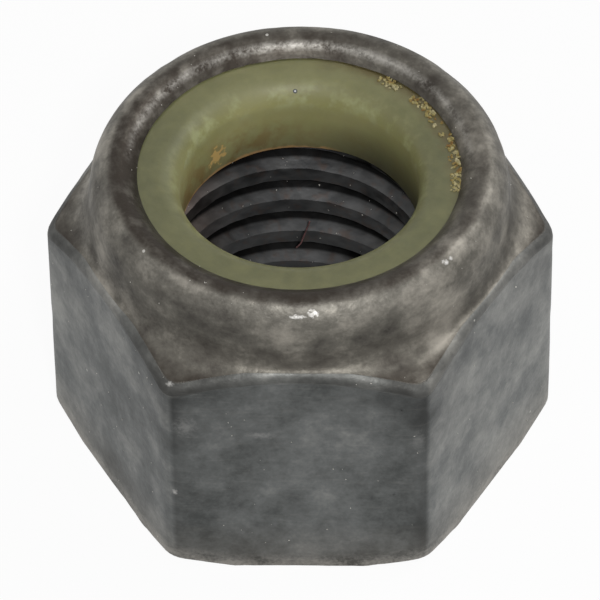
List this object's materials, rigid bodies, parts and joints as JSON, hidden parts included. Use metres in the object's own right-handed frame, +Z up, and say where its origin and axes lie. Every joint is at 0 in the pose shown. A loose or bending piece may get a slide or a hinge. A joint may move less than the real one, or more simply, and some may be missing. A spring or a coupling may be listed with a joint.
{
  "type": "nylon insert lock nut",
  "caption": "Hexagon lock nut with a nylon ring held under a crimped collar, which grips the bolt's thread and resists loosening.",
  "frame": {"origin": "centre of the bearing face, on the thread's axis", "axes": "+Z up the thread's axis from the bearing face to the crimped collar; two flats face -Y and +Y, and two corners lie on X"},
  "size_m": [0.0218, 0.019, 0.0153],
  "materials": {
    "blackened_steel": "aged dark oxide, mottled grey, worn bright along the edges",
    "nylon": "waxy, slightly translucent olive"
  },
  "bodies": {
    "root": {"nut_body": "blackened_steel", "nylon_insert": "nylon"}
  },
  "joints": []
}
